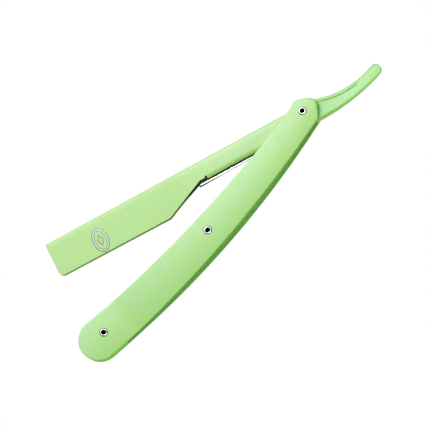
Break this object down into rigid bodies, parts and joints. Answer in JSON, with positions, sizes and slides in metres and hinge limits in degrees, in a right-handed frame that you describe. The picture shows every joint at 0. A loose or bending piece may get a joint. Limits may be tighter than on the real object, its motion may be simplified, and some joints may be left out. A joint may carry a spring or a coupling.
{
  "type": "straight razor",
  "caption": "Folding straight razor: two bowed scales, a folded sheet blade arm with a curved trough tail, and an inner leaf with pegs for half of a double-edge blade.",
  "frame": {"origin": "on the main pivot's axis, halfway through the handle's thickness, inside the hollow of the pivot rivet", "axes": "+X from the handle's round end through the pivot to the tail side, +Y towards the concave side that the arm folds in from, +Z along the pivot out of the front scale"},
  "size_m": [0.1665, 0.0561, 0.0097],
  "materials": {
    "scale_plastic": "matt pastel green, fine moulded texture",
    "shell_coating": "matt pastel green coating on folded steel sheet",
    "rivet_steel": "bright plated steel",
    "leaf_steel": "ground bright along the lower edge, blackened elsewhere"
  },
  "bodies": {
    "handle": {"front_scale": "scale_plastic", "rear_scale": "scale_plastic", "end_spacer": "scale_plastic", "pivot_rivet": "rivet_steel", "middle_rivet": "rivet_steel", "end_rivet": "rivet_steel", "middle_sleeve": "rivet_steel", "front_pivot_washer": "rivet_steel", "rear_pivot_washer": "rivet_steel"},
    "leaf": {"blade_leaf": "leaf_steel", "blade_pegs": "leaf_steel"},
    "shell": {"holder_shell": "shell_coating"}
  },
  "joints": [
    {"name": "arm_pivot", "type": "hinge", "parent": "handle", "child": "leaf", "pos_m": [0, 0, 0], "axis": [0, 0, -1], "range_deg": [-12.4, 270]},
    {"name": "shell_swing", "type": "hinge", "parent": "leaf", "child": "shell", "pos_m": [0, 0, 0], "axis": [0, 0, -1], "range_deg": [0, 40]}
  ]
}
